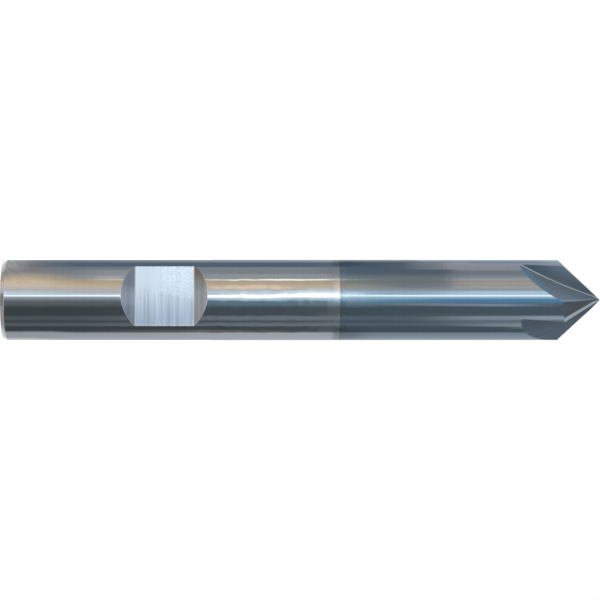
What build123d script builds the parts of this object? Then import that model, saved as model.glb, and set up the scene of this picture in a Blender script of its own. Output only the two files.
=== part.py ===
from build123d import *
from math import cos, radians, sin, tan
import os

# Chamfer mill of solid carbide, ground from one round bar.
# The tool stands on its shank end. +Z runs along the axis up to the point, the origin is
# the centre of the shank's end face, and the clamping flat faces -Y. Sizes are in mm.

# Ground bar: one diameter from the shank end to the corners of the cutting edges
diameter = 10.0
overall_length = 74.3
end_chamfer = 0.5
point_angle = 90.0  # across two opposite cutting edges, in degrees
tip_flat = 0.12  # width left blunt at the tip

# Clamping flat on the shank
flat_depth = 1.65  # below the shank's surface
flat_length = 7.3
flat_centre = 20.1  # from the shank end
flat_end_slope = 45.0  # of the ground ends against the flat, in degrees
flat_corner_radius = 0.2  # left by the wheel between the flat and its ends

# Flutes, one ahead of each cutting edge
flute_count = 4
flute_run_out = 5.4  # of the root, back from the corners of the cutting edges
web = 0.4  # between opposite roots at the point
flute_angle = 85.0  # between the rake face and the back face, in degrees
root_radius = 0.15
rake_angle = 7.0  # in degrees
first_edge_angle = 41.2  # from +X round the axis, in degrees

# Relief behind each cutting edge
primary_relief = 8.0  # in degrees
secondary_relief = 18.0  # in degrees
land_width = 0.55  # of the primary relief at the corner
land_taper = 1.8  # by which the land narrows towards the tip, in degrees

radius = diameter / 2
half_point = radians(point_angle / 2)
apex = Vector(0, 0, overall_length + tip_flat / 2 / tan(half_point))
corner_drop = radius / tan(half_point)
flute_length = corner_drop + flute_run_out

# One tooth is laid out with its cutting edge over +X and its flute on the +Y side.
corner = apex + Vector(radius, 0, -corner_drop)
edge_direction = Vector(sin(half_point), 0, -cos(half_point))
cone_normal = Vector(cos(half_point), 0, sin(half_point))
edge_axis = Axis(apex, edge_direction)
into_flute = Vector(0, 1, 0).rotate(edge_axis, -rake_angle)


def on_rake_face(distance, drop):
    """Point of the rake face at a distance from the axis and a drop below the apex."""
    over_cone = distance * cos(half_point) - drop * sin(half_point)
    return apex + Vector(distance, over_cone * tan(radians(rake_angle)), -drop)


# The root of the flute is a straight line in the rake face. It passes the axis at half
# the web and rises to the bar's surface at the end of the flute.
root_at_point = on_rake_face(web / 2, 0)
root_at_run_out = on_rake_face(radius, flute_length)
root_direction = (root_at_run_out - root_at_point).normalized()
flute_section = Plane(
    root_at_point,
    x_dir=root_direction.cross(into_flute),
    z_dir=-root_direction,
)

# The primary relief turns about the cutting edge. The secondary relief turns about the
# back of the land, which closes on the edge towards the tip.
primary_normal = cone_normal.rotate(edge_axis, primary_relief)
primary_face = Plane(corner, x_dir=edge_direction, z_dir=primary_normal)
land_corner = primary_face.from_local_coords(Vector(0, -land_width, 0))
land_direction = edge_direction.rotate(Axis(apex, primary_normal), -land_taper)
land_axis = Axis(land_corner, land_direction)
secondary_normal = primary_normal.rotate(land_axis, secondary_relief - primary_relief)
secondary_face = Plane(land_corner, x_dir=land_direction, z_dir=secondary_normal)

# Sweep of the grinding wheel through one flute: a V with a rounded root
with BuildPart() as flute_wedge:
    with BuildSketch(flute_section) as wheel_form:
        with BuildLine():
            rake_side = PolarLine((0, 0), diameter, 0)
            back_side = PolarLine((0, 0), diameter, flute_angle)
            Line(rake_side @ 1, back_side @ 1)
        make_face()
        fillet(wheel_form.vertices().sort_by_distance(root_at_point)[0], root_radius)
    extrude(amount=2 * flute_length, both=True)

with BuildPart() as chamfer_mill:
    # Round bar with its end chamfer and its cone
    with BuildSketch(Plane.XZ):
        with BuildLine():
            Polyline(
                (0, 0),
                (radius - end_chamfer, 0),
                (radius, end_chamfer),
                (radius, corner.Z),
                (tip_flat / 2, overall_length),
                (0, overall_length),
                close=True,
            )
        make_face()
    revolve(axis=Axis.Z)

    # Clamping flat, ground straight across the shank between sloping ends
    flat_level = flat_depth - radius
    flat_half = flat_length / 2
    mouth_half = flat_half + flat_depth / tan(radians(flat_end_slope))
    with BuildSketch(Plane.YZ) as flat_form:
        with BuildLine():
            Polyline(
                (flat_level, flat_centre - flat_half),
                (flat_level, flat_centre + flat_half),
                (-radius, flat_centre + mouth_half),
                (-radius, flat_centre - mouth_half),
                close=True,
            )
        make_face()
        fillet(flat_form.vertices().sort_by(Axis.X)[-2:], flat_corner_radius)
    extrude(amount=radius, both=True, mode=Mode.SUBTRACT)

    # Flute and relief of every tooth
    with PolarLocations(0, flute_count, start_angle=first_edge_angle) as teeth:
        add(flute_wedge.part, mode=Mode.SUBTRACT)
    for tooth in teeth.locations:
        split(bisect_by=Plane(tooth * primary_face.location), keep=Keep.BOTTOM)
        split(bisect_by=Plane(tooth * secondary_face.location), keep=Keep.BOTTOM)

os.makedirs("parts", exist_ok=True)
chamfer_mill.part.label = "chamfer_mill"
export_step(chamfer_mill.part, "parts/chamfer_mill.step")
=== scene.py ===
from math import atan2, cos, hypot, radians, sin, sqrt, tan

import bmesh
import bpy
from mathutils import Matrix, Vector


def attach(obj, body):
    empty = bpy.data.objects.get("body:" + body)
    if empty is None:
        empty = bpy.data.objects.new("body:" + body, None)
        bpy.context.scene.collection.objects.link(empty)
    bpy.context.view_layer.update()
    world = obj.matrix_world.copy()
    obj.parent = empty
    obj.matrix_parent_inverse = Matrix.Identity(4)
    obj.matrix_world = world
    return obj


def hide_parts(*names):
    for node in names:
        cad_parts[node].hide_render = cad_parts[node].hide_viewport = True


# Chamfer mill of solid carbide, standing on its shank end with the point up. The tool's sizes are
# in millimetres, as in the part's source, and everything built is in metres.

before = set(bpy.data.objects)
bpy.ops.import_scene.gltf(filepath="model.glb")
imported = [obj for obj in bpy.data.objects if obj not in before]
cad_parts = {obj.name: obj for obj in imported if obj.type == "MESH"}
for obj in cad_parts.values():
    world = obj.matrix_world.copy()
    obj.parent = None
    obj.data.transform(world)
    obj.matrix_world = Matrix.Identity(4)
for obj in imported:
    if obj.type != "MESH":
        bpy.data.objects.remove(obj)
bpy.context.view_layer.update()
MM = 0.001  # in metres

# Ground bar
diameter = 10.0
overall_length = 74.3
end_chamfer = 0.5
point_angle = radians(90.0)
tip_flat = 0.12

# Clamping flat on the shank
flat_depth = 1.65
flat_length = 7.3
flat_centre = 20.1
flat_end_slope = radians(45.0)
flat_corner_radius = 0.2  # left by the wheel where the flat meets its sloping ends

# Flutes
flute_count = 4
flute_run_out = 5.4
flute_margin = 1.2  # of the run-out, from the corners down to a ring just below the flutes
web = 0.4
flute_angle = radians(80.5)
root_radius = 0.15
rake_angle = radians(7.0)
first_edge_angle = radians(41.2)
wheel_radius = 50.0  # of the grinding wheel, whose rim hollows the root along its length
wheel_reach = 16.0  # of its way through the flute, to both sides of the root's middle

# Relief behind each cutting edge
primary_relief = radians(8.0)
secondary_relief = radians(18.0)
land_width = 0.55
land_taper = radians(1.8)

# Finish
coating_start = 41.7  # height of the coating's edge on the shank
edge_break = 0.04  # rounding of the flat's outline and of the end chamfer

# Mesh
facets = 388  # round the bar, a number that leaves no facet's edge along the flat's outline
corner_points = 4  # of the rounding between the flat and a sloping end
root_points = 9  # of the flutes' rounded root
rim_points = 49  # of the wheel's way through a flute
cutter_reach = 2.0  # of the flute cutters along their sides, in radii of the bar
block_side = 4.0  # of the relief cutters, in radii of the bar
merge_distance = 0.0008
main_face_area = 0.5  # in square millimetres, above which a face keeps its own true normal
sharp_angle = radians(20.0)
blend_angle = radians(40.0)  # up to which neighbouring faces share a normal

# How a face is known by its place and its normal
round_tolerance = 0.005  # a corner so near the bar's radius lies on its round surface
form_tolerance = 0.01  # a face so near the wheel's form was ground by it
tilt_tolerance = 0.05  # of a normal, for the round surface and the end chamfer
back_match = cos(radians(2.0))  # between a face's normal and a flute's back face
rake_match = 0.999  # and its rake face

# Camera, fitted to the photograph
camera_azimuth = radians(8.0)
camera_distance = 280.0  # from the tool's axis
camera_height = 30.6  # where a level line of sight meets the axis
image_size = 600
pixels_per_mm = 8.02  # at the tool's axis
principal_x = 249.9  # pixel column of that height in the photograph

radius = diameter / 2
half_point = point_angle / 2
apex = Vector((0, 0, overall_length + tip_flat / 2 / tan(half_point)))
corner_drop = radius / tan(half_point)
corner = apex + Vector((radius, 0, -corner_drop))
edge_direction = Vector((sin(half_point), 0, -cos(half_point)))
cone_normal = Vector((cos(half_point), 0, sin(half_point)))
flat_ring = flat_length / 2 + 2 * flat_depth  # from the flat's centre to a ring beyond its ends
flutes_foot = corner.z - flute_margin * flute_run_out


def turned(direction, axis, angle):
    """The direction, turned by an angle round an axis through the origin."""
    return Matrix.Rotation(angle, 3, axis) @ direction


def rake_point(distance, drop):
    """Point of the rake face at a distance from the axis and a drop below the apex."""
    over_cone = distance * cos(half_point) - drop * sin(half_point)
    return apex + Vector((distance, over_cone * tan(rake_angle), -drop))


# One tooth is laid out with its cutting edge over +X and its flute on the +Y side.
into_flute = turned(Vector((0, 1, 0)), edge_direction, -rake_angle)
root_point = rake_point(web / 2, 0)
root = rake_point(radius, corner_drop + flute_run_out) - root_point
root_direction = root.normalized()
rake_side = root_direction.cross(into_flute)
primary_normal = turned(cone_normal, edge_direction, primary_relief)
land_corner = corner - primary_normal.cross(edge_direction) * land_width
land_direction = turned(edge_direction, primary_normal, -land_taper)
secondary_normal = turned(primary_normal, land_direction, secondary_relief - primary_relief)

# A flute has axes of its own: X out along the rake face, Y across the flute, Z along the root
# towards the tip. The wheel's rim is an arc in the plane of the rake face.
flute_axes = Matrix((rake_side, -root_direction.cross(rake_side), -root_direction)).transposed()
root_hollow = wheel_radius - sqrt(wheel_radius**2 - (root.length / 2) ** 2)
wheel_centre = Vector((wheel_radius - root_hollow, 0, -root.length / 2))


def on_rim(along):
    """Point of the wheel's rim in the flute's axes, at a distance along the root from its middle."""
    return wheel_centre + Vector((-sqrt(wheel_radius**2 - along**2), 0, along))


def tooth_turn(tooth):
    """Turn round the tool's axis from the tooth that is laid out to another one."""
    return Matrix.Rotation(first_edge_angle + tooth * radians(360) / flute_count, 3, "Z")


def in_flute(tooth, point):
    """Place of a point in a flute: along the wheel's rim, out from it, and across the flute."""
    laid_out = tooth_turn(tooth).inverted() @ point
    from_centre = flute_axes.inverted() @ (laid_out - root_point) - wheel_centre
    along = atan2(from_centre.z, -from_centre.x) * wheel_radius
    return along, wheel_radius - hypot(from_centre.x, from_centre.z), from_centre.y


def back_normal(tooth, point):
    """Normal that the back face of a flute has at a point: the wheel's flank is a cone."""
    turn = in_flute(tooth, point)[0] / wheel_radius
    off_rim = Vector((cos(turn), 0, -sin(turn)))
    normal = off_rim * sin(flute_angle) - Vector((0, 1, 0)) * cos(flute_angle)
    return tooth_turn(tooth) @ flute_axes @ normal


def fill(tree, node, inputs):
    """Fills a node's inputs with values or links. A list is several links into one input."""
    for key, value in inputs.items():
        for source in value if isinstance(value, list) else [value]:
            if isinstance(source, bpy.types.NodeSocket):
                tree.links.new(source, node.inputs[key])
            else:
                node.inputs[key].default_value = source


def put(tree, kind, inputs=None, **settings):
    """Adds a node, sets it up, fills its inputs and gives its output."""
    node = tree.nodes.new(kind)
    for name, value in settings.items():
        setattr(node, name, value)
    fill(tree, node, inputs or {})
    return next((socket for socket in node.outputs if socket.enabled), None)


def tree_of(*sources):
    """The tree of the first link among some values and links."""
    return next(source.id_data for source in sources if isinstance(source, bpy.types.NodeSocket))


def maths(operation, *values):
    """Result of one operation on numbers."""
    return put(tree_of(*values), "ShaderNodeMath", dict(enumerate(values)), operation=operation)


def times(first, *others):
    """Product of numbers."""
    for other in others:
        first = maths("MULTIPLY", first, other)
    return first


def plus(first, *others):
    """Sum of numbers."""
    for other in others:
        first = maths("ADD", first, other)
    return first


def vector(**parts):
    """Vector of the parts that are given, and 0 for the rest."""
    return put(tree_of(*parts.values()), "ShaderNodeCombineXYZ", parts)


def vectors(operation, first, second):
    """Result of one operation on two vectors, part by part."""
    return put(tree_of(first), "ShaderNodeVectorMath", {0: first, 1: second}, operation=operation)


def scaled(whole, factor):
    """Vector or colour, times a number."""
    return put(tree_of(whole), "ShaderNodeVectorMath", {0: whole, 3: factor}, operation="SCALE")


def swept(profile, path, scale=1.0):
    """Solid of a closed profile that follows a path."""
    inputs = {"Curve": path, "Profile Curve": profile, "Scale": scale, "Fill Caps": True}
    return put(tree_of(path), "GeometryNodeCurveToMesh", inputs)


def rounded_form(tree, corners, rounding, points):
    """Closed outline through four corners, each rounded with so many points."""
    outline = put(
        tree,
        "GeometryNodeCurvePrimitiveQuadrilateral",
        {f"Point {number}": place for number, place in enumerate(corners, 1)},
        mode="POINTS",
    )
    inputs = {"Curve": outline, "Count": points, "Radius": rounding}
    return put(tree, "GeometryNodeFilletCurve", inputs, mode="POLY")


def placed(tree, solid, place, z_axis, x_axis):
    """The solid with its Z and X axes turned to two directions and its origin moved."""
    turn = put(
        tree,
        "FunctionNodeAxesToRotation",
        {"Primary Axis": z_axis, "Secondary Axis": x_axis},
        primary_axis="Z",
        secondary_axis="X",
    )
    return put(tree, "GeometryNodeTransform", {"Geometry": solid, "Translation": place, "Rotation": turn})


def picked(tree, index, values):
    """The value whose place in the list is the index."""
    switch = put(tree, "GeometryNodeIndexSwitch", {"Index": index}, data_type="FLOAT").node
    while len(switch.index_switch_items) < len(values):
        switch.index_switch_items.new()
    fill(tree, switch, {str(row): value for row, value in enumerate(values)})
    return switch.outputs[0]


def turned_bar(tree, size):
    """The round bar with its end chamfer and its cone, as a circle swept through seven stations."""
    rings = ("End chamfer", "Flat's lower ring", "Flat's upper ring", "Flutes' ring", "Corner height")
    stations = (
        (0.0, maths("SUBTRACT", size["Radius"], size["End chamfer"])),
        *((size[ring], size["Radius"]) for ring in rings),
        (size["Overall length"], size["Tip radius"]),
    )
    index = put(tree, "GeometryNodeInputIndex")
    height, width = (picked(tree, index, column) for column in zip(*stations))
    line = put(tree, "GeometryNodeCurvePrimitiveLine")
    points = put(tree, "GeometryNodeResampleCurve", {"Curve": line, "Count": len(stations)})
    axis = put(tree, "GeometryNodeSetPosition", {"Geometry": points, "Position": vector(Z=height)})
    circle = put(tree, "GeometryNodeCurvePrimitiveCircle", {"Resolution": size["Facets"], "Radius": 1.0})
    return swept(circle, axis, width)


def flat_cutter(tree, size):
    """Wheel's sweep across the shank: the flat, its sloping ends and their rounded corners."""
    level = maths("SUBTRACT", size["Radius"], size["Flat depth"])
    top = plus(level, size["Radius"])
    half = times(size["Flat length"], 0.5)
    slope = maths("TANGENT", size["Flat end slope"])
    mouth = plus(half, maths("DIVIDE", size["Radius"], slope))
    corners = (
        vector(X=times(half, -1.0), Y=level),
        vector(X=half, Y=level),
        vector(X=mouth, Y=top),
        vector(X=times(mouth, -1.0), Y=top),
    )
    section = rounded_form(tree, corners, size["Flat corner radius"], corner_points)
    start = vector(Z=times(size["Radius"], -1.0))
    end = vector(Z=size["Radius"])
    path = put(tree, "GeometryNodeCurvePrimitiveLine", {"Start": start, "End": end})
    centre = vector(Z=size["Flat centre"])
    return placed(tree, swept(section, path), centre, (1, 0, 0), (0, 0, 1))


def flute_cutter(tree, size):
    """Wheel's sweep through one flute: a V with a rounded root, which follows the wheel's rim."""
    rake_end = vector(X=times(size["Radius"], cutter_reach))
    back_end = put(
        tree,
        "ShaderNodeVectorRotate",
        {"Vector": rake_end, "Angle": size["Flute angle"]},
        rotation_type="Z_AXIS",
    )
    corners = ((0, 0, 0), rake_end, vectors("ADD", rake_end, back_end), back_end)
    section = rounded_form(tree, corners, size["Root radius"], root_points)
    rim = put(
        tree,
        "GeometryNodeCurveArc",
        {
            "Resolution": rim_points,
            "Start": size["Wheel's way in"],
            "Middle": size["Wheel's deepest"],
            "End": size["Wheel's way out"],
        },
        mode="POINTS",
    )
    # A profile that follows an arc comes out a quarter turn round, so it is turned back first.
    quarter = put(tree, "GeometryNodeTransform", {"Geometry": section, "Rotation": (0, 0, radians(-90))})
    to_tip = scaled(size["Root direction"], -1.0)
    return placed(tree, swept(quarter, rim), size["Root point"], to_tip, size["Rake side"])


def relief_cutter(tree, size, point, normal):
    """Block that takes away all that stands above one relief face."""
    side = times(size["Radius"], block_side)
    block = put(tree, "GeometryNodeMeshCube", {"Size": vector(X=side, Y=side, Z=side)})
    lift = vector(Z=times(side, 0.5))
    lifted = put(tree, "GeometryNodeTransform", {"Geometry": block, "Translation": lift})
    return placed(tree, lifted, size[point], size[normal], size["Edge direction"])


def on_every_tooth(tree, size, cutter):
    """One copy of a cutter for each tooth, turned round the tool's axis."""
    teeth = put(tree, "GeometryNodeMeshLine", {"Count": size["Flute count"], "Offset": (0, 0, 0)})
    pitch = maths("DIVIDE", radians(360), size["Flute count"])
    index = put(tree, "GeometryNodeInputIndex")
    angle = maths("MULTIPLY_ADD", index, pitch, size["First edge angle"])
    turn = put(tree, "FunctionNodeEulerToRotation", {"Euler": vector(Z=angle)})
    inputs = {"Points": teeth, "Instance": cutter, "Rotation": turn}
    return put(tree, "GeometryNodeInstanceOnPoints", inputs)


def grinding_tree(sizes):
    """Geometry nodes that grind the tool from its bar. The sizes become the tree's named inputs."""
    tree = bpy.data.node_groups.new("grinding", "GeometryNodeTree")
    kinds = {float: "NodeSocketFloat", int: "NodeSocketInt", Vector: "NodeSocketVector"}
    for name, value in sizes.items():
        tree.interface.new_socket(name=name, in_out="INPUT", socket_type=kinds[type(value)])
    tree.interface.new_socket(name="Finish", in_out="INPUT", socket_type="NodeSocketMaterial")
    tree.interface.new_socket(name="Tool", in_out="OUTPUT", socket_type="NodeSocketGeometry")
    size = tree.nodes.new("NodeGroupInput").outputs
    bar = turned_bar(tree, size)
    cutters = [
        flat_cutter(tree, size),
        on_every_tooth(tree, size, flute_cutter(tree, size)),
        on_every_tooth(tree, size, relief_cutter(tree, size, "Edge corner", "Primary normal")),
        on_every_tooth(tree, size, relief_cutter(tree, size, "Land corner", "Secondary normal")),
    ]
    ground = put(
        tree,
        "GeometryNodeMeshBoolean",
        {"Mesh 1": bar, "Mesh 2": cutters},
        operation="DIFFERENCE",
        solver="MANIFOLD",
    )
    in_metres = put(tree, "GeometryNodeTransform", {"Geometry": ground, "Scale": (MM, MM, MM)})
    real = put(tree, "GeometryNodeRealizeInstances", {"Geometry": in_metres})
    finished = put(tree, "GeometryNodeSetMaterial", {"Geometry": real, "Material": size["Finish"]})
    fill(tree, tree.nodes.new("NodeGroupOutput"), {"Tool": finished})
    return tree


def in_scene(name, data):
    """Object of its own for a mesh, a lamp or a camera, in the scene."""
    item = bpy.data.objects.new(name, data)
    bpy.context.scene.collection.objects.link(item)
    return item


def made_mesh(item):
    """Plain mesh of an object with its modifiers applied. The object is removed."""
    evaluated = item.evaluated_get(bpy.context.evaluated_depsgraph_get())
    mesh = bpy.data.meshes.new_from_object(evaluated)
    bpy.data.objects.remove(item)
    return mesh


def ground_tool(material):
    """The whole tool as one mesh in metres, its sharp edges still unbroken."""
    sizes = {
        "Facets": facets,
        "Radius": radius,
        "End chamfer": end_chamfer,
        "Corner height": corner.z,
        "Overall length": overall_length,
        "Tip radius": tip_flat / 2,
        "Flat depth": flat_depth,
        "Flat length": flat_length,
        "Flat centre": flat_centre,
        "Flat end slope": flat_end_slope,
        "Flat corner radius": flat_corner_radius,
        "Flat's lower ring": flat_centre - flat_ring,
        "Flat's upper ring": flat_centre + flat_ring,
        "Flutes' ring": flutes_foot,
        "Flute count": flute_count,
        "First edge angle": first_edge_angle,
        "Flute angle": flute_angle,
        "Root radius": root_radius,
        "Root point": root_point,
        "Root direction": root_direction,
        "Rake side": rake_side,
        "Wheel's way in": on_rim(-wheel_reach),
        "Wheel's deepest": on_rim(0),
        "Wheel's way out": on_rim(wheel_reach),
        "Edge direction": edge_direction,
        "Edge corner": corner,
        "Primary normal": primary_normal,
        "Land corner": land_corner,
        "Secondary normal": secondary_normal,
    }
    blank = in_scene("blank", bpy.data.meshes.new("blank"))
    grinding = blank.modifiers.new("grinding", "NODES")
    grinding.node_group = grinding_tree(sizes)
    for socket in grinding.node_group.interface.items_tree:
        if socket.in_out == "INPUT":
            grinding[socket.identifier] = sizes.get(socket.name, material)
    return made_mesh(blank)


def on_shank(edge):
    """True for an edge below the coated part."""
    return max(vert.co.z for vert in edge.verts) < coating_start * MM


def break_edges(mesh):
    """Rounds the sharp edges of the shank a little. The cutting end keeps its keen edges."""
    work = bmesh.new()
    work.from_mesh(mesh)
    bmesh.ops.remove_doubles(work, verts=work.verts, dist=merge_distance * MM)
    bmesh.ops.dissolve_degenerate(work, edges=work.edges, dist=merge_distance * MM)
    outline = [edge for edge in work.edges if on_shank(edge) and edge.calc_face_angle(0) > sharp_angle]
    corners = list({vert for edge in outline for vert in edge.verts})
    bmesh.ops.remove_doubles(work, verts=corners, dist=edge_break * MM)
    weight = work.edges.layers.float.new("bevel_weight_edge")
    for edge in work.edges:
        if on_shank(edge) and edge.calc_face_angle(0) > sharp_angle:
            edge[weight] = 1.0
    work.to_mesh(mesh)
    work.free()
    holder = in_scene("holder", mesh)
    bevel = holder.modifiers.new("edge break", "BEVEL")
    bevel.limit_method = "WEIGHT"
    bevel.width = edge_break * MM
    bevel.segments = 2
    bevel.use_clamp_overlap = False
    return made_mesh(holder)


def is_turned(face):
    """True for a facet of the bar's round surface."""
    return abs(face.normal.z) < tilt_tolerance and all(
        abs(vert.co.xy.length - radius * MM) < round_tolerance * MM for vert in face.verts
    )


def is_end_chamfer(face):
    """True for a facet of the shank's end chamfer."""
    low = max(vert.co.z for vert in face.verts) < (end_chamfer - edge_break / 2) * MM
    return low and abs(face.normal.z + cos(radians(45))) < tilt_tolerance


def flute_of(face):
    """The flute that a face of the cutting end belongs to, and whether the face is its back face."""
    centre = face.calc_center_median() / MM
    if centre.z < flutes_foot:
        return None, False
    for tooth in range(flute_count):
        _, out, across = in_flute(tooth, centre)
        off_back = abs(out * sin(flute_angle) - across * cos(flute_angle))
        if off_back < form_tolerance and face.normal.dot(back_normal(tooth, centre)) > back_match:
            return tooth, True
        rake_normal = tooth_turn(tooth) @ flute_axes.col[1]
        on_rake = abs(across) < form_tolerance and abs(face.normal.dot(rake_normal)) > rake_match
        if on_rake or hypot(out, across) < 2 * root_radius:
            return tooth, False
    return None, False


def surface_normal(face, vert):
    """The true normal at a corner of a face, where the face stands for a round surface."""
    outward = Vector((vert.co.x, vert.co.y, 0)).normalized()
    if is_turned(face):
        return outward
    if is_end_chamfer(face):
        return (outward - Vector((0, 0, 1))).normalized()
    tooth, is_back = flute_of(face)
    if is_back:
        return back_normal(tooth, vert.co / MM)
    return face.normal.copy()


def true_normals(mesh):
    """Sets the normals of the ground faces exactly, and blends the roundings into them."""
    work = bmesh.new()
    work.from_mesh(mesh)
    main = {
        face
        for face in work.faces
        if face.calc_area() > main_face_area * MM * MM
        or is_turned(face)
        or is_end_chamfer(face)
        or flute_of(face)[1]
    }
    normals = []
    for face in work.faces:
        for vert in face.verts:
            near = [other for other in vert.link_faces if other.normal.dot(face.normal) > cos(blend_angle)]
            carriers = [other for other in near if other in main]
            if face in main:
                normal = surface_normal(face, vert)
            elif carriers:
                largest = max(carriers, key=lambda other: other.calc_area())
                normal = surface_normal(largest, vert)
            else:
                total = sum((other.normal * other.calc_area() for other in near), Vector())
                normal = total.normalized()
            normals.append(normal)
    work.free()
    mesh.shade_smooth()
    mesh.normals_split_custom_set(normals)


# Directions round the tool are degrees from the camera's azimuth, positive towards the top of
# the picture.
towards_camera = Vector((sin(camera_azimuth), -cos(camera_azimuth), 0))
picture_up = Vector((-cos(camera_azimuth), -sin(camera_azimuth), 0))


def stand(angle, height, distance):
    """Point in metres at a direction round the tool, a height and a distance from its axis."""
    level = towards_camera * cos(radians(angle)) + picture_up * sin(radians(angle))
    return (level * distance + Vector((0, 0, height))) * MM


def card_light():
    """Light of the cards: each spot glows in its own tone, and lets through where it has no cover."""
    material = bpy.data.materials.new("card light")
    material.use_nodes = True
    tree = material.node_tree
    tree.nodes.clear()
    tone = tree.nodes.new("ShaderNodeAttribute")
    tone.attribute_name = "tone"
    glow = put(tree, "ShaderNodeEmission", {"Color": tone.outputs["Color"]})
    clear = put(tree, "ShaderNodeBsdfTransparent")
    mixed = put(tree, "ShaderNodeMixShader", {0: tone.outputs["Alpha"], 1: clear, 2: glow})
    fill(tree, tree.nodes.new("ShaderNodeOutputMaterial"), {"Surface": mixed})
    material.cycles.emission_sampling = "NONE"
    return material


def stage_mesh(name, verts, faces, tones):
    """Card of the stage, which only the tool's mirror faces see."""
    mesh = bpy.data.meshes.new(name)
    mesh.from_pydata(verts, [], faces)
    colours = mesh.color_attributes.new("tone", "FLOAT_COLOR", "POINT")
    for spot, tone in zip(colours.data, tones):
        spot.color = tone
    mesh.materials.append(bpy.data.materials.get("card light") or card_light())
    item = in_scene(name, mesh)
    item.visible_camera = False
    item.visible_diffuse = False
    item.visible_shadow = False


def between(low, high, share):
    """Values that lie a share of the way from some values to others."""
    return [a + (b - a) * share for a, b in zip(low, high)]


def completed(stations):
    """Stations, in which one that gives only its height repeats the one before it."""
    rows = []
    for height, *given in stations:
        rows.append((height, *(given or rows[-1][1:])))
    return rows


def card(name, *stations, nearer=0, end_drop=0):
    """Upright card that stands round the tool, through stations from its foot to its head.

    A station is a height, a few directions from one edge of the card to the other, a tone for each
    and, where the card isn't solid, a cover for each. Towards the last direction the foot bends
    down, at its end by the value of end_drop.
    """
    columns = 24  # between two directions
    verts, faces, tones = [], [], []
    for row, (height, directions, row_tones, *covers) in enumerate(completed(stations)):
        covers = covers[0] if covers else [1] * len(directions)
        points = [(angle, *tone, cover) for angle, tone, cover in zip(directions, row_tones, covers)]
        for span, (low, high) in enumerate(zip(points, points[1:])):
            for column in range(columns + 1):
                share = column / columns
                along = (span + share) / (len(points) - 1)
                drop = end_drop * along**3 if row == 0 else 0
                angle, *tone = between(low, high, share)
                verts.append(stand(angle, height - drop, card_distance - nearer))
                tones.append(tone)
    per_row = (columns + 1) * (len(stations[0][1]) - 1)
    for row in range(1, len(stations)):
        for column in range(1, per_row):
            here = row * per_row + column
            if column % (columns + 1):
                faces.append((here - per_row - 1, here - per_row, here, here - 1))
    stage_mesh(name, verts, faces, tones)


def soft_strip(name, edges, *stations, nearer=8):
    """Card that fades in between its first two edges and out between its last two.

    A station is a height, a tone and a cover.
    """
    rows = []
    for height, tone, cover in completed(stations):
        rows.append((height, edges, [tone] * 4, (0, cover, cover, 0)))
    card(name, *rows, nearer=nearer)


def canopy(name, height, *rings):
    """Level card above or below the tool.

    A ring is a radius and its tones on the picture's upper side and on its lower side.
    """
    columns = 48
    verts, faces, tones = [], [], []
    for row, (reach, upper_tone, lower_tone) in enumerate(rings):
        for column in range(columns):
            angle = column * 360 / columns
            share = 0.5 - 0.5 * sin(radians(angle))
            verts.append(stand(angle, height, reach))
            tones.append([*between(upper_tone, lower_tone, share), 1])
            if row:
                here = row * columns + column
                left = row * columns + (column - 1) % columns
                faces.append((left - columns, here - columns, here, left))
    stage_mesh(name, verts, faces, tones)


# Tones of the cards, in which 1 is white: dark ones
ink = (0.08, 0.1, 0.11)
charcoal = (0.11, 0.14, 0.16)
graphite = (0.18, 0.21, 0.23)
umber = (0.22, 0.205, 0.22)
deep_slate = (0.22, 0.255, 0.29)
soot = (0.25, 0.255, 0.26)
slate = (0.27, 0.31, 0.35)
brown = (0.28, 0.26, 0.24)
# greys
earth = (0.37, 0.35, 0.33)
pewter = (0.37, 0.41, 0.46)
dusk = (0.4, 0.38, 0.4)
smoke = (0.44, 0.47, 0.51)
taupe = (0.47, 0.46, 0.44)
pale_slate = (0.46, 0.53, 0.61)
ash = (0.53, 0.56, 0.58)
cloud = (0.54, 0.58, 0.64)
plum = (0.54, 0.5, 0.52)
mist = (0.59, 0.65, 0.74)
stone = (0.64, 0.61, 0.6)
pearl = (0.66, 0.68, 0.72)
dove = (0.84, 0.83, 0.82)
# blues
navy = (0.15, 0.22, 0.32)
teal = (0.19, 0.31, 0.4)
steel = (0.24, 0.3, 0.36)
blue = (0.24, 0.54, 0.82)
lagoon = (0.33, 0.47, 0.54)
haze_blue = (0.45, 0.55, 0.68)
aqua = (0.5, 0.72, 0.82)
lilac = (0.72, 0.73, 0.88)
ice = (0.75, 1.0, 1.15)
# warm ones
straw = (0.66, 0.54, 0.38)
fawn = (0.68, 0.6, 0.5)
ochre = (0.74, 0.61, 0.45)
clay = (0.77, 0.65, 0.6)
rose = (0.78, 0.69, 0.71)
sand = (0.99, 0.8, 0.58)
rosy_sand = (1.0, 0.77, 0.62)
warm_sand = (1.08, 0.85, 0.58)
blush = (1.12, 0.92, 0.84)
pale_sand = (1.14, 0.95, 0.76)
peach = (1.45, 1.15, 0.84)
# and bright ones
pale_blue = (0.92, 1.1, 1.22)
frost = (0.98, 1.0, 1.08)
pale_linen = (1.0, 0.96, 0.96)
white = (1.0, 1.03, 1.05)
petal = (1.16, 1.08, 1.09)
daylight = (1.2, 1.25, 1.25)
sky = (1.25, 1.42, 1.56)
warm_white = (1.3, 1.14, 1.04)
bright_sky = (1.42, 1.6, 1.76)
linen = (1.72, 1.72, 1.78)
glare = (1.85, 2.05, 2.05)
window = (1.9, 2.5, 3.1)
cream = (2.0, 1.92, 1.75)
key = (2.7, 2.8, 2.8)

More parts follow.
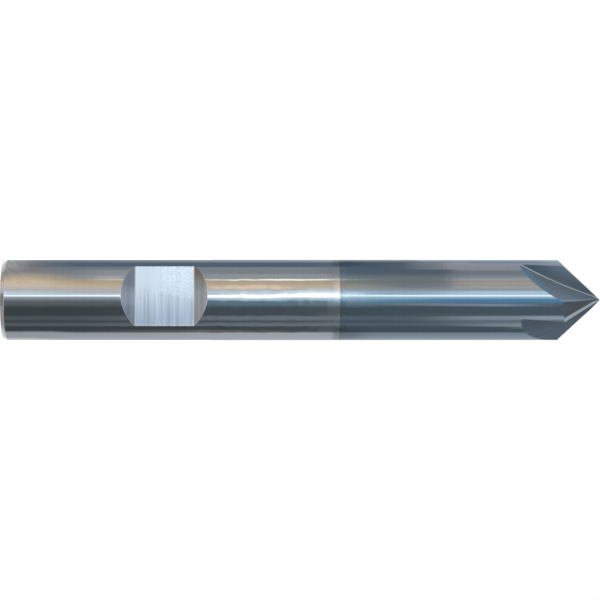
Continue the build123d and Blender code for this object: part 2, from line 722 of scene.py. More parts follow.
# Places of the cards. The walls mirror a height on the tool about two and a half times as far
# from the camera's own height.
card_distance = 400.0  # from the tool's axis
canopy_height = 700.0
ground = -700.0
card_foot = -60.0  # of the cards that stand in the walls' reflections
card_head = 180.0  # and their top
toe = -42.0  # what the walls mirror at the shank's end
ankle = -30.0  # a little way in from there
heel = -22.0  # left of the flat
flat_start = -8.0  # at the flat's left end
bare = 20.0  # right of the flat
mid_shank = 34.0  # between the flat and the coating's edge
coat = 58.0  # and at the coating's edge
screen_top = 90.0  # upper edge of the dark screen, seen at the middle of the coated walls


def cards_on_the_lower_side():
    """What the lower half mirrors: a pale wall, then a dark flag with a few grey strips before it."""
    edges = (-180, -152, -140, -111, -103.5)
    tones = (ash, cloud, mist, cloud, graphite)
    card(
        "lower wall",
        (card_foot, (-180, -150, -135, -110, -102), (dove, dove, cloud, cloud, graphite)),
        (toe + 6, (-180, -150, -135, -108, -98.7), (dove, dove, cloud, cloud, graphite)),
        (ankle, (-180, -152, -138, -108, -98.9), (dove, pearl, cloud, cloud, graphite)),
        (heel, edges, tones),
        (bare, edges, (ash, cloud, mist, pearl, graphite)),
        (coat - 6,),
        (coat + 1, (-180, -152, -140, -110, -101.5), tones),
        (coat + 10, edges, tones),
        (card_head,),
    )
    flag = (
        (card_foot, -102, ink, ink),
        (toe + 6, -98.7, ink, ink),
        (ankle, -98.9, ink, ink),
        (heel, -103.5, ink, ink),
        (bare, -103.5, ink, charcoal),
        (coat - 6, -103.5, charcoal, charcoal),
        (coat + 1, -101.5, graphite, graphite),
        (coat + 10, -103.5, graphite, graphite),
        (card_head, -103.5, graphite, steel),
    )
    card("dark flag", *((height, (edge, -22), tones) for height, edge, *tones in flag))
    soft_strip("brown edge", (-107, -104, -98, -92), (heel, brown, 0), (bare, brown, 0.8), (48, brown, 0))
    soft_strip(
        "outer grey strip",
        (-82, -78, -72, -63),
        (card_foot, slate, 0.4),
        (heel, slate, 0.45),
        (bare, steel, 0.95),
        (screen_top - 4, slate, 1),
        (screen_top + 2, pewter, 1),
        (card_head,),
    )
    soft_strip(
        "inner grey strip",
        (-64, -57, -49, -43.5),
        (card_foot, slate, 0.3),
        (heel,),
        (bare, slate, 0.9),
        (screen_top - 8, slate, 1),
        (screen_top + 6, pearl, 0.95),
        (110,),
        (118, frost, 0.8),
        (card_head,),
    )
    veil = ((76, pewter, 0), (100, pewter, 0.9), (card_head,))
    soft_strip("grey veil", (-74, -67, -58, -54), *veil)
    streak = ((92, lilac, 0), (104, rose, 0.8), (card_head,))
    soft_strip("rose streak", (-84, -80, -74, -68), *streak, nearer=14)
    end = ((105, rose, 0), (113, rose, 0.6), (card_head,))
    soft_strip("rose end", (-93, -88, -70, -63), *end, nearer=16)
    rim = ((72, brown, 0), (85, brown, 0.7), (112, brown, 0))
    soft_strip("brown rim", (-48, -45, -41, -37), *rim, nearer=14)
    card(
        "lilac line",
        (60, (-17, -13, -9, -6.5), [ash] * 4, (0, 0, 0, 0)),
        (76, (-17, -13.5, -10, -6.5), [ash] * 4, (0, 0.8, 0.8, 0)),
        (104, (-19.5, -17, -12.5, -10), [lilac] * 4, (0, 0.9, 0.9, 0)),
        (119, (-19.5, -17, -12.5, -10), [lilac] * 4, (0, 0, 0, 0)),
        nearer=14,
    )


def cards_round_the_key():
    """The narrow bright strip along the middle of the tool, its blue fall-off and the sky above."""
    fall = (charcoal, teal, teal, ice, sky)
    card(
        "blue strip",
        (card_foot, (-22, -11, -5, 2.5, 8), (ink, graphite, graphite, pewter, mist)),
        (flat_start,),
        (bare - 4, (-22, -11, -4, 1.5, 7), fall),
        (mid_shank, (-22, -12, -4.5, 1.2, 6.5), fall),
        (coat - 8, (-22, -12, -4.5, 3.6, 7.2), fall),
        (coat - 3, (-22, -13, -5.5, 1.5, 7), (ink, steel, teal, ice, sky)),
        (coat, (-22, -12, -6, 1, 6.5), (graphite, haze_blue, mist, sky, bright_sky)),
        (coat + 1, (-22, -13, -5, 2.5, 9), (steel, pewter, mist, pale_blue, sky)),
        (coat + 6, (-22, -13, -5, 2.5, 9), (steel, lagoon, aqua, ice, sky)),
        (coat + 10, (-22, -13, -5, 3, 9.5), (graphite, slate, blue, ice, sky)),
        (screen_top, (-22, -13, -4, 1, 9.4), (graphite, slate, blue, blue, sky)),
        (card_head, (-22, -13, -4, 1, 9.4), (steel, slate, blue, blue, sky)),
    )
    shine = (sky, key, key, key, sky)
    card(
        "key strip",
        (card_foot, (8, 10, 11.5, 13.5, 14.5), (mist, pale_blue, glare, glare, pale_blue)),
        (flat_start,),
        (bare - 4, (7, 9, 12, 13, 15), (sky, key, key, key, pale_blue)),
        (mid_shank, (6.5, 8.7, 12, 13, 16), shine),
        (coat - 8, (7.2, 9, 13, 16, 20), shine),
        (coat - 3, (7, 8.8, 13, 16, 20), (sky, key, key, key, bright_sky)),
        (coat, (6.5, 8.5, 13, 16, 20), (bright_sky, key, key, key, bright_sky)),
        (coat + 1, (9, 11.6, 12.5, 13.5, 15.5), (sky, key, key, key, glare)),
        (coat + 6, (9, 11.4, 12.5, 13.4, 15.5), (sky, glare, key, glare, sky)),
        (coat + 10, (9.5, 11.4, 12.5, 13.5, 15), (sky, key, key, key, pale_blue)),
        (screen_top, (9.4, 11.5, 12.5, 13.4, 15), shine),
        (card_head,),
    )
    panel = (
        (card_foot, 14.5, 19.5, pale_blue, sky, dove),
        (ankle, 14.5, 19.5, pale_blue, pale_blue, dove),
        (heel, 14.5, 22, pale_blue, dove, dove),
        (flat_start,),
        (bare, 15.5, 23, pale_blue, pale_blue, dove),
        (mid_shank, 16, 24, sky, pale_blue, dove),
        (coat - 8, 20, 25, sky, sky, dove),
        (coat - 3, 20, 25, bright_sky, sky, white),
        (coat, 20, 25, bright_sky, bright_sky, white),
        (coat + 1, 15.5, 22, glare, bright_sky, dove),
        (coat + 6, 15.5, 24, sky, pale_blue, dove),
        (coat + 10, 15, 24, pale_blue, pale_blue, dove),
        (screen_top - 8, 15, 23, pale_blue, pale_blue, dove),
        (screen_top + 2, 15, 22, sky, sky, dove),
        (screen_top + 8, 15, 22, sky, bright_sky, dove),
        (card_head,),
    )
    rows = ((height, (low, middle, 28.5), tones) for height, low, middle, *tones in completed(panel))
    card("sky panel", *rows)


def boards_on_the_upper_side():
    """Warm, grey and dark blue boards and a wall, which stand side by side."""
    card(
        "warm board",
        (card_foot, (28.5, 43, 60), (dove, pale_sand, warm_sand)),
        (toe + 10,),
        (heel, (28.5, 40, 60), (dove, sand, straw)),
        (bare, (28.5, 40, 60), (dove, sand, ochre)),
        (card_head,),
    )
    card(
        "grey board",
        (card_foot, (60, 76, 92, 108), (taupe, taupe, taupe, stone)),
        (toe,),
        (toe + 6, (60, 76, 90, 108), (taupe, taupe, dusk, dusk)),
        (heel, (60, 72, 80, 108), (taupe, smoke, pewter, slate)),
        (bare, (60, 76, 84, 106.7), (ash, ash, pewter, pewter)),
        (card_head,),
    )
    card(
        "dark blue board",
        (card_foot, (108, 122, 137), (stone, rose, cloud)),
        (toe, (108, 122, 137), (stone, stone, cloud)),
        (toe + 5, (108, 122, 137), (dusk, dusk, pewter)),
        (ankle - 3, (108, 114, 137), (slate, slate, slate)),
        (heel, (108, 116, 137), (slate, navy, navy)),
        (bare, (106.7, 110.5, 137), (pewter, navy, navy)),
        (card_head,),
    )
    wall = (
        (card_foot, cloud, pearl),
        (toe,),
        (toe + 5, pewter, ash),
        (ankle - 3, slate, pewter),
        (heel, slate, slate),
        (bare, pewter, pewter),
        (coat - 8, pewter, smoke),
        (coat - 1, smoke, ash),
        (coat + 1, pewter, pewter),
        (screen_top,),
    )
    card("upper wall", *((height, (137, 180), tones) for height, *tones in completed(wall)))


def patches_before_the_boards():
    """Soft patches of light on the boards, and a thin cream line."""
    card(
        "warm corner",
        (card_foot, (58, 74, 88), (warm_sand, fawn, fawn), (1, 1, 0)),
        (toe, (58, 72, 82), (warm_sand, fawn, fawn), (1, 1, 0)),
        (toe + 6, (58, 79, 89), (warm_sand, fawn, fawn), (1, 1, 0)),
        (ankle, (58, 76, 87), (sand, fawn, fawn), (1, 0.8, 0)),
        (heel, (58, 64, 72), [straw] * 3, (0.8, 0.6, 0)),
        (heel + 6, (58, 61, 66), [straw] * 3, (0.8, 0.6, 0)),
        (0, (58, 61, 66), [straw] * 3, (0, 0, 0)),
        nearer=8,
    )
    patches = (
        ("warm patch", (52, 62, 70, 78), cream, ((-17, 0), (-13, 0.18), (-7.5, 0.18), (-5, 0))),
        ("light patch", (66, 72, 92, 100), ash, ((heel, 0), (-12, 0.7), (2, 0.7), (18, 0))),
        ("pale patch", (23, 27, 32, 36), daylight, ((50, 0), (53, 0.6), (coat, 0.6), (60, 0))),
        ("peach patch", (28, 33, 38, 44), peach, ((12, 0), (26, 0.8), (36, 0.9), (43, 0))),
    )
    for name, edges, tone, covers in patches:
        soft_strip(name, edges, *((height, tone, cover) for height, cover in covers))
    soft_strip(
        "cream line",
        (57.5, 59.5, 61.7, 63.7),
        (heel, cream, 0),
        (-12, cream, 0.3),
        (bare, cream, 0.4),
        (mid_shank, cream, 1),
        (coat - 1, cream, 0.95),
        (coat + 1.5, cream, 0.3),
        (card_head,),
    )


def screens_on_the_upper_side():
    """A dark and a rose screen before the boards, which only the coated walls mirror."""
    edges = (26, 39, 50, 66, 82, 142)
    card(
        "dark screen",
        (50, edges, (dove, ochre, taupe, ash, slate, slate), (0, 0, 0, 0, 0, 0)),
        (coat - 1, edges, (dove, ochre, taupe, ash, slate, navy), (0, 0, 0.3, 0.3, 0.5, 0.5)),
        (coat + 1, edges, (dove, ochre, taupe, taupe, slate, navy), (0, 0, 0.6, 0.7, 1, 0.9)),
        (coat + 6, edges, (dove, plum, taupe, taupe, slate, navy), (0, 0.2, 0.7, 0.8, 1, 0.9)),
        (coat + 16, edges, (dove, plum, taupe, taupe, slate, deep_slate)),
        (screen_top, edges, (dove, plum, taupe, taupe, slate, slate)),
        nearer=16,
    )
    soft_strip("glint", (13, 14.5, 19, 25), (58.4, key, 0), (59.6, key, 1), (61.6, key, 0), nearer=14)
    rose_screen = (
        (29, dove),
        (38, blush),
        (45, rosy_sand),
        (48, blush),
        (52, rosy_sand),
        (57, rosy_sand),
        (60, blush),
        (62, blush),
        (64, dove),
        (67, rose),
        (77, ash),
        (84, plum),
        (91, plum),
        (98, rose),
        (125, rose),
        (137, haze_blue),
        (180, mist),
    )
    card("rose screen", (screen_top, *zip(*rose_screen)), (card_head,), nearer=16, end_drop=11)
    corner_rows = ((76, rose, 0), (79, rose, 0.4), (85,), (88, rose, 0.95), (94,))
    soft_strip("rose corner", (96, 101, 134, 146), *corner_rows, nearer=20)
    end_rows = ((114, frost, 0), (119, frost, 0.4), (card_head, frost, 0.6))
    soft_strip("pale end", (122, 132, 170, 179), *end_rows, nearer=24)


def cards_above():
    """What the faces of the cutting end mirror."""
    low_wall = (card_head, (-180, -150, -95, -50), (mist, slate, soot, slate))
    card("upper wall, below", low_wall, (canopy_height,))
    front = (
        (card_head, cream, dove, dove),
        (193, linen, dove, dove),
        (201, pale_linen, dove, dove),
        (221,),
        (240, dove, dove, dove),
        (270,),
        (300, white, white, dove),
        (322, daylight, daylight, dove),
        (342, daylight, daylight, petal),
        (356, clay, clay, petal),
        (canopy_height, ash, ash, petal),
    )
    rows = []
    for height, left, middle, right in completed(front):
        rows.append((height, (-50, -14, 5, 14, 60), (left, left, middle, right, right)))
    card("upper wall, front", *rows)
    high_wall = (card_head, (60, 112, 127, 180), (dove, pewter, pale_slate, pearl))
    card("upper wall, above", high_wall, (canopy_height,))
    canopy("canopy", canopy_height, (0, slate, umber), (170, slate, umber))
    canopy("canopy's rim", canopy_height, (170, dove, frost), (card_distance, dove, frost))


def cards_below():
    """What the flat's slopes and the end chamfer mirror, and the walls in a view from above."""
    wall_foot = -420
    edges = (-180, 0, 90, 180)
    card("low wall", (ground, edges, (taupe, taupe, ochre, ochre)), (wall_foot, edges, [ash] * 4))
    round_the_tool = (
        (-180, dove),
        (-150, dove),
        (-125, ash),
        (-108, cloud),
        (-100, graphite),
        (-30, graphite),
        (-8, pewter),
        (5, white),
        (20, white),
        (40, pale_sand),
        (58, fawn),
        (74, ash),
        (100, slate),
        (125, dove),
        (180, dove),
    )
    edges, tones = zip(*round_the_tool)
    card("low boards", (wall_foot, edges, [ash] * len(edges)), (-300, edges, tones), (card_foot,))
    canopy(
        "low card",
        ground,
        (0, earth, earth),
        (110, earth, earth),
        (170, dove, taupe),
        (350, pale_sand, taupe),
        (card_distance, sand, taupe),
    )
    soft_strip(
        "low window",
        (-40, -16, 40, 64),
        (-330, warm_white, 0.6),
        (-240, warm_white, 1),
        (-140,),
        (-110, window, 1),
        (card_foot - 24, window, 0.7),
        (card_foot - 10, window, 0),
    )


cards_on_the_lower_side()
cards_round_the_key()
boards_on_the_upper_side()
patches_before_the_boards()
screens_on_the_upper_side()
cards_above()
cards_below()


def per_mm(tree, cells):
    """Object coordinates as a pattern's, with so many cells a millimetre along X, Y and Z."""
    place = tree.nodes.new("ShaderNodeTexCoord").outputs["Object"]
    return vectors("MULTIPLY", place, tuple(count / MM for count in cells))


def place_on(tree, axis):
    """Place on the tool along one axis, in millimetres."""
    return put(tree, "ShaderNodeSeparateXYZ", {0: per_mm(tree, (1, 1, 1))}).node.outputs[axis]


def noise(place, detail=2.0, roughness=0.5):
    """Soft random pattern between about 0.2 and 0.8."""
    inputs = {"Vector": place, "Scale": 1.0, "Detail": detail, "Roughness": roughness}
    return put(tree_of(place), "ShaderNodeTexNoise", inputs)


def step(value, low, high, at_low=0.0, at_high=1.0):
    """Smooth step of a value from one level to another."""
    inputs = {"Value": value, "From Min": low, "From Max": high, "To Min": at_low, "To Max": at_high}
    return put(tree_of(value), "ShaderNodeMapRange", inputs, interpolation_type="SMOOTHSTEP")


def within(value, start, full, last, end):
    """Share that rises from a start to full, and falls from a last value to an end."""
    return times(step(value, start, full), step(value, end, last))


def toned(share, tone):
    """Factor that goes from 1 to a tone as a share goes from 0 to 1."""
    return step(share, 0.0, 1.0, 1.0, tone)


def rgba(colour):
    """A colour's three values with their alpha. A link stays as it is."""
    return (*colour, 1.0) if isinstance(colour, tuple) else colour


def mixed_colour(share, first, second):
    """Colour that goes from the first to the second with the share."""
    inputs = {0: share, 6: rgba(first), 7: rgba(second)}
    return put(tree_of(share), "ShaderNodeMix", inputs, data_type="RGBA")


def mixed_number(share, first, second):
    """Number that goes from the first to the second with the share."""
    return put(tree_of(share), "ShaderNodeMix", {0: share, 2: first, 3: second}, data_type="FLOAT")


def metal(name, anisotropic=0.0):
    """Metal whose colour, roughness and bump come from its finish."""
    material = bpy.data.materials.new(name)
    material.use_nodes = True
    shader = material.node_tree.nodes["Principled BSDF"]
    fill(material.node_tree, shader, {"Metallic": 1.0, "Anisotropic": anisotropic})
    return material, material.node_tree, shader


def give_finish(tree, shader, colour, roughness, height, depth):
    """Gives a metal its colour, its roughness and a relief of so many millimetres."""
    bump = put(tree, "ShaderNodeBump", {"Height": height, "Distance": depth * MM, "Strength": 1.0})
    fill(tree, shader, {"Base Color": colour, "Roughness": roughness, "Normal": bump})


# Levels of a soft random pattern, between which a tone or a roughness changes
noise_middle = 0.5
main_levels = (0.3, 0.7)
ring_levels = (0.25, 0.75)
all_levels = (0.2, 0.8)
violet_levels = (0.5, 0.68)
green_levels = (0.5, 0.32)
glint_levels = (0.38, 0.7)

# Colours of the round surface and the coated faces
bare_carbide = (0.5, 0.51, 0.52)
coating = (0.29, 0.355, 0.40)
coating_violet = (0.3, 0.347, 0.41)
coating_green = (0.28, 0.36, 0.393)
coating_ring = (0.24, 0.27, 0.27)

# Patterns of the round surface, in cells a millimetre along X, Y and Z
coating_streaks = (1.6, 1.6, 0.12)
grinding_rings = (0.05, 0.05, 3.0)
grinding_waves = (0.5, 0.5, 0.42)
dust_specks = (5.0, 5.0, 5.0)
stroke_lines = (6.0, 0.4, 0.3)
stroke_slant = radians(-45)

# Where these, the coating's own marks and the painted shade and highlight at its edge start and
# are full, and for some where they are last full and end. Heights are along Z. A place aside is
# along X, larger towards the bottom of the picture.
stroke_heights = (6.5, 1.5)
stroke_side = (-0.8, -1.6)
wave_start = (18.0, 27.0)
wave_end = (coating_start - 9, coating_start + 2)
calmer_side = (-2.8, -0.8)
dust_heights = (coating_start - 2.5, coating_start, coating_start, coating_start + 3)
painted_shade_heights = (40.3, coating_start - 0.3, coating_start - 0.6, 47.5)
painted_shade_upper_side = (-4.9, -4.5, -4.1, -3.4)
painted_shade_lower_side = (3.4, 4.5)
painted_highlight_heights = (coating_start - 1.1, coating_start - 0.5)
painted_highlight_middle = (-2.0, -1.3, 0.7, 1.4)
coated_heights = (coating_start - 0.02, coating_start + 0.06)
ring_heights = (coating_start - 0.16, coating_start, coating_start + 0.1, coating_start + 0.3)
haze_heights = (39.0, coating_start, coating_start, 43.0)

# How strong they are
# the painted shade at the coating's edge and the painted highlight just before it
painted_shade_tone = 0.66
painted_highlight_tone = 1.2
ring_strength = 0.55
polish = 0.055  # roughness of the bright ground surface
haze_roughness = 0.11
ring_roughness = 0.02
wave_depth = 0.05  # in millimetres, left by centreless grinding
fine_share = 0.02  # of that depth, for the rings and the strokes


def coating_colour(tree):
    """Dark blue coating that turns a little to violet and to green in streaks along the tool."""
    streaks = noise(per_mm(tree, coating_streaks), detail=3.0)
    tinted = mixed_colour(step(streaks, *violet_levels), coating, coating_violet)
    return mixed_colour(step(streaks, *green_levels), tinted, coating_green)


def marks(pattern, there):
    """Random pattern round 0, as strong as the share of it that is there."""
    return times(maths("SUBTRACT", pattern, noise_middle), there)


def mottled(pattern):
    """Tone that marks darken and lighten by up to 12 percent."""
    return step(pattern, -0.25, 0.25, 0.88, 1.12)


def handling_strokes(tree, height, aside):
    """Slanting fine scratches near the shank's end, left by taking the tool in and out of holders."""
    slanting = {"Vector": per_mm(tree, (1, 1, 1)), "Rotation": (0, stroke_slant, 0)}
    strokes = noise(vectors("MULTIPLY", put(tree, "ShaderNodeMapping", slanting), stroke_lines))
    return marks(strokes, times(step(height, *stroke_heights), step(aside, *stroke_side)))


def waviness(height, aside):
    """Strength of the waves: weak left of the flat, strong right of it, and calm at the coating."""
    rise = step(height, *wave_start, 0.1, 0.8)
    fall = step(height, *wave_end, 1.0, 0.06)
    return times(rise, fall, step(aside, *calmer_side, 0.4, 1.0))


def edge_dust(tree, height):
    """Tone of the coating's fine mottled dust on both sides of its edge."""
    specks = noise(per_mm(tree, dust_specks), detail=2.0)
    return mottled(marks(specks, within(height, *dust_heights)))


def edge_veil(height, aside):
    """Tone of the painted shade at the coating's edge, on the tool's upper and lower sides."""
    at_edge = within(height, *painted_shade_heights)
    upper_side = within(aside, *painted_shade_upper_side)
    lower_side = step(aside, *painted_shade_lower_side)
    return toned(times(at_edge, plus(lower_side, upper_side)), painted_shade_tone)


def edge_bloom(height, aside):
    """Tone of a painted highlight just before the coating's edge, along the middle of the tool."""
    in_front = within(aside, *painted_highlight_middle)
    return toned(times(step(height, *painted_highlight_heights), in_front), painted_highlight_tone)


def shank_finish():
    """Round surface: ground in fine rings, bare up to the coating's edge and coated above it."""
    material, tree, shader = metal("ground round")
    height = place_on(tree, "Z")
    aside = place_on(tree, "X")
    rings = noise(per_mm(tree, grinding_rings), detail=4.0, roughness=0.7)
    waves = noise(per_mm(tree, grinding_waves), detail=1.0)
    strokes = handling_strokes(tree, height, aside)

    coated = step(height, *coated_heights)
    plain = mixed_colour(coated, bare_carbide, coating_colour(tree))
    ring = times(within(height, *ring_heights), ring_strength)
    tones = (
        step(rings, *ring_levels, 0.98, 1.02),
        edge_dust(tree, height),
        mottled(strokes),
        # painted shade on the upper and lower sides at the coating's edge
        edge_veil(height, aside),
        # painted highlight along the middle just before the coating's edge
        mixed_number(coated, edge_bloom(height, aside), 1.0),
    )
    colour = scaled(mixed_colour(ring, plain, coating_ring), times(*tones))

    near_edge = within(height, *haze_heights)
    haze = times(near_edge, near_edge, haze_roughness)
    roughness = plus(polish, haze, times(rings, ring_roughness))
    swell = times(waves, waviness(height, aside))
    relief = plus(times(rings, fine_share), swell, times(strokes, fine_share))
    give_finish(tree, shader, colour, roughness, relief, wave_depth)
    return material


# Colours of the clamping flat
flat_top_painted_light = (0.64, 0.708, 0.782)  # painted light on the upper side, which is also the finely dressed one
flat_bottom_painted_shade = (0.385, 0.45, 0.542)  # painted shade on the lower side, which also has the wheel's coarser lines
# painted highlight along the flat's edges
flat_edge_painted_highlight = (0.5, 0.5, 0.52)
left_slope_painted_tint = (0.45, 0.52, 0.6)  # painted reflection tint of the left sloping end
right_slope_painted_tint = (0.54, 0.54, 0.54)  # painted reflection tint of the right sloping end
# brown towards the top of the right sloping end
slope_top_brown = (0.36, 0.29, 0.24)

# Its patterns, in cells a millimetre, and their depth in millimetres
flat_lines = (0.06, 0.06, 2.37)
flat_sparkle = (8.0, 8.0, 3.0)
flat_line_depth = 0.004
sparkle_share = 0.5  # of that depth
line_shine = 0.6  # how far the lines stretch its highlights

# Where its parts start and are full: on both sides of its centre, from the centre, or aside
slopes = (flat_length / 2 - 0.03, flat_length / 2 + 0.02)
# where painted highlights lie near the flat's ends and along its lower side
edge_highlight_ends = (flat_length / 2 - 0.14, flat_length / 2 - 0.1)
right_half = (0.0, 1.0)
glint_start = (-1.6, 0.4)
edge_highlight_side = (3.5, 3.56)
# painted light and shade, from the lower side to the upper one
painted_gradient_side = (3.4, -2.4)
browned_side = (-1.6, -3.0)
shaded_side = (0.0, -1.8)
# painted shade on the foot of the left sloping end
left_foot_shade_side = (0.6, 1.8)
finer_side = (-0.1, -0.7)
border_slant = -0.22  # of the finer side's border, over the tool's height
# painted shade on the upper side of the slopes and on the foot of the left one
shade_tone = 0.72
foot_shade_tone = 0.78


def flat_colour(aside, off_centre, on_slope, on_right):
    """Colour of the clamping flat: painted light and shade, painted edge highlights and painted slope
    tints.
    """
    # painted light on the upper side and painted shade on the lower side
    flat_painted_gradient = mixed_colour(step(aside, *painted_gradient_side), flat_bottom_painted_shade, flat_top_painted_light)
    # painted highlights along the flat's ends and its lower side
    edge_highlight = maths("MAXIMUM", step(off_centre, *edge_highlight_ends), step(aside, *edge_highlight_side))
    with_edge_highlight = mixed_colour(edge_highlight, flat_painted_gradient, flat_edge_painted_highlight)
    # painted reflection tints of the two sloping ends
    slopes_painted_tint = mixed_colour(on_right, left_slope_painted_tint, right_slope_painted_tint)
    # brown towards the top of the right sloping end
    browned = times(on_slope, on_right, step(aside, *browned_side))
    return mixed_colour(browned, mixed_colour(on_slope, with_edge_highlight, slopes_painted_tint), slope_top_brown)


def flat_finish():
    """Clamping flat: ground straight across the shank, in lines that catch the light."""
    material, tree, shader = metal("ground flat", line_shine)
    aside = place_on(tree, "X")
    from_centre = maths("SUBTRACT", place_on(tree, "Z"), flat_centre)
    off_centre = maths("ABSOLUTE", from_centre)
    on_slope = step(off_centre, *slopes)
    on_flat = step(on_slope, 1.0, 0.0)
    on_right = step(from_centre, *right_half)
    on_left = step(on_right, 1.0, 0.0)
    finer = step(plus(aside, times(from_centre, border_slant)), *finer_side)

    lines = noise(per_mm(tree, flat_lines), detail=5.0, roughness=0.78)
    coarse_tone = step(lines, *main_levels, 0.84, 1.14)
    fine_tone = step(lines, *main_levels, 0.98, 1.02)
    line_tone = mixed_number(times(finer, on_flat), coarse_tone, fine_tone)
    sparkle = noise(per_mm(tree, flat_sparkle), detail=3.0, roughness=0.65)
    glints = step(sparkle, *glint_levels, -0.02, 0.26)
    there = times(step(from_centre, *glint_start), finer, on_flat)
    shaded = times(on_slope, step(aside, *shaded_side))
    # painted shade on the foot of the left sloping end
    left_foot_painted_shade = times(on_slope, on_left, step(aside, *left_foot_shade_side))
    lit = plus(line_tone, times(glints, there))
    tone = times(lit, toned(shaded, shade_tone), toned(left_foot_painted_shade, foot_shade_tone))
    colour = scaled(flat_colour(aside, off_centre, on_slope, on_right), tone)

    tangent = put(tree, "ShaderNodeTangent", direction_type="UV_MAP", uv_map="grinding")
    fill(tree, shader, {"Tangent": tangent})
    roughness = step(lines, *all_levels, 0.42, 0.3)
    relief = plus(lines, times(sparkle, sparkle_share))
    give_finish(tree, shader, colour, roughness, relief, flat_line_depth)
    return material


# Tints of the coating in the flutes and on the reliefs, towards the axis and towards the bar's
# surface, and the painted shade of a back face beside its root and its painted light beside the land
inner_tint = (1.02, 0.96, 0.93)
outer_tint = (1.0, 1.06, 1.13)
root_painted_shade = (0.84, 0.88, 0.93)
land_painted_light = (1.06, 1.12, 1.2)
tint_reach = (3.2, 5.0)  # from the axis
back_reach = (1.0, 2.9)  # from the root
flute_lines = (0.25, 6.0, 0.0)  # in cells a millimetre along the wheel's way and across it
flute_line_depth = 0.0015


def flute_finish(name, is_back):
    """Flutes and reliefs: coated over the wheel's fine lines, which run along each face."""
    material, tree, shader = metal(name)
    off_axis = put(tree, "ShaderNodeVectorMath", {0: per_mm(tree, (1, 1, 0))}, operation="LENGTH")
    tint = mixed_colour(step(off_axis, *tint_reach), inner_tint, outer_tint)
    coloured = vectors("MULTIPLY", coating_colour(tree), tint)
    place = put(tree, "ShaderNodeUVMap", uv_map="grinding")
    if is_back:
        off_root = put(tree, "ShaderNodeSeparateXYZ", {0: place}).node.outputs["Y"]
        # painted shade beside the root and painted light beside the land
        back_painted_shading = mixed_colour(step(off_root, *back_reach), root_painted_shade, land_painted_light)
        coloured = vectors("MULTIPLY", coloured, back_painted_shading)
    lines = noise(vectors("MULTIPLY", place, flute_lines), detail=3.0, roughness=0.6)
    colour = scaled(coloured, step(lines, *main_levels, 0.92, 1.06))
    roughness = step(lines, *all_levels, 0.1, 0.16)
    give_finish(tree, shader, colour, roughness, lines, flute_line_depth)
    return material


def relief_lines(normal):
    """Direction of the wheel's lines on a relief face."""
    ways = []
    for tooth in range(flute_count):
        ways += [tooth_turn(tooth) @ edge_direction, tooth_turn(tooth) @ land_direction]
    return min(ways, key=lambda way: abs(way.dot(normal)))


def dress(mesh, finishes):
    """Gives every face the round, flat, flute or back finish, and its grinding lines."""
    mesh.materials.clear()
    for material in finishes:
        mesh.materials.append(material)
    on_round, on_flat, in_flutes, on_backs = range(len(finishes))
    work = bmesh.new()
    work.from_mesh(mesh)
    grinding = work.loops.layers.uv.new("grinding")
    mouth = flat_length / 2 + flat_depth / tan(flat_end_slope)
    for face in work.faces:
        height = face.calc_center_median().z / MM
        tooth, is_back = flute_of(face)
        if is_turned(face):
            face.material_index = on_round
        elif abs(height - flat_centre) < mouth:
            face.material_index = on_flat
        elif height > coating_start:
            face.material_index = on_backs if is_back else in_flutes
        way = relief_lines(face.normal) if height > coating_start else Vector((1, 0, 0))
        across = face.normal.cross(way)
        for loop in face.loops:
            place = loop.vert.co / MM
            if tooth is None:
                loop[grinding].uv = (place.dot(way), place.dot(across))
            else:
                on_way, out, over = in_flute(tooth, place)
                loop[grinding].uv = (on_way, hypot(out, over) if is_back else out)
    work.to_mesh(mesh)
    work.free()


tool_mesh = break_edges(ground_tool(bpy.data.materials.new("blank")))
finishes = (
    shank_finish(),
    flat_finish(),
    flute_finish("ground flutes", is_back=False),
    flute_finish("ground backs", is_back=True),
)
dress(tool_mesh, finishes)
true_normals(tool_mesh)
tool = in_scene("ground_tool", tool_mesh)
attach(tool, "root")
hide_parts("chamfer_mill")


floor_radius = 1.5  # in metres
floor_facets = 96
floor_white = (0.8, 0.8, 0.8, 1.0)
floor_glow = 0.5  # which the camera sees on top of the light that falls on it
room_light = 0.5  # strength of the white world, but for the camera's view and the reflections
lamp_place = Vector((0.2, -0.4, 1.2))  # in metres
lamp_aim = Vector((0, 0, 0.03))
lamp_spread = radians(50)
lamp_strength = 1.8


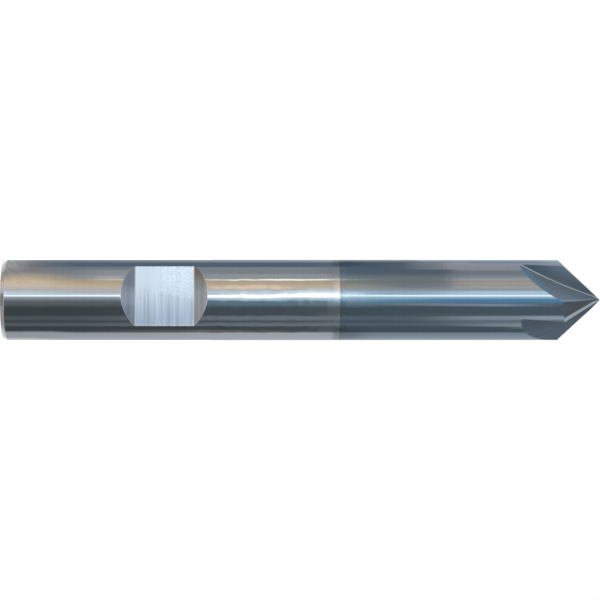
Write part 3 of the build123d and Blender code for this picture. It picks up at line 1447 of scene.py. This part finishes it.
def pale_floor():
    """Matt white floor, which shows white to the camera and keeps the tool's soft shadow."""
    mesh = bpy.data.meshes.new("floor")
    disc = bmesh.new()
    bmesh.ops.create_circle(disc, cap_ends=True, radius=floor_radius, segments=floor_facets)
    disc.to_mesh(mesh)
    disc.free()
    material = bpy.data.materials.new("floor white")
    material.use_nodes = True
    tree = material.node_tree
    tree.nodes.clear()
    matt = put(tree, "ShaderNodeBsdfDiffuse", {"Color": floor_white})
    seen = tree.nodes.new("ShaderNodeLightPath").outputs["Is Camera Ray"]
    glow = put(tree, "ShaderNodeEmission", {"Strength": times(seen, floor_glow)})
    both = put(tree, "ShaderNodeAddShader", {0: matt, 1: glow})
    fill(tree, tree.nodes.new("ShaderNodeOutputMaterial"), {"Surface": both})
    mesh.materials.append(material)
    floor = in_scene("floor", mesh)
    floor.visible_glossy = False


def white_world():
    """White behind the tool and in its reflections, and a softer light on everything else."""
    world = bpy.data.worlds.new("studio")
    bpy.context.scene.world = world
    world.use_nodes = True
    tree = world.node_tree
    seen = tree.nodes.new("ShaderNodeLightPath").outputs
    mirrored = maths("MAXIMUM", seen["Is Camera Ray"], seen["Is Glossy Ray"])
    any_view = maths("MAXIMUM", mirrored, seen["Is Transmission Ray"])
    level = put(tree, "ShaderNodeMapRange", {"Value": any_view, "To Min": room_light, "To Max": 1.0})
    fill(tree, tree.nodes["Background"], {"Strength": level, "Color": (1, 1, 1, 1)})


def overhead_lamp():
    """Wide even light from above and in front, unseen in the tool's mirror faces."""
    data = bpy.data.lights.new("overhead", "SUN")
    data.angle = lamp_spread
    data.energy = lamp_strength
    lamp = in_scene("overhead", data)
    lamp.location = lamp_place
    lamp.rotation_euler = (lamp_aim - lamp_place).to_track_quat("-Z", "Y").to_euler()
    lamp.visible_glossy = False
    lamp.visible_camera = False


pale_floor()
white_world()
overhead_lamp()


def place_camera():
    """Camera at the photograph's angle, on its side so that the tool lies across the picture."""
    data = bpy.data.cameras.new("camera")
    data.sensor_width = 36.0
    data.lens = pixels_per_mm * camera_distance * data.sensor_width / image_size
    data.clip_start = 0.01
    data.clip_end = 20.0
    camera = in_scene("camera", data)
    place = towards_camera * camera_distance + Vector((0, 0, camera_height))
    aim = Vector((0, 0, camera_height + (image_size / 2 - principal_x) / pixels_per_mm))
    look = (aim - place).normalized()
    axes = Matrix((look.cross(picture_up), picture_up, -look)).transposed().to_4x4()
    camera.matrix_world = Matrix.Translation(place * MM) @ axes
    bpy.context.scene.camera = camera


place_camera()
bpy.context.scene.view_settings.view_transform = "Standard"
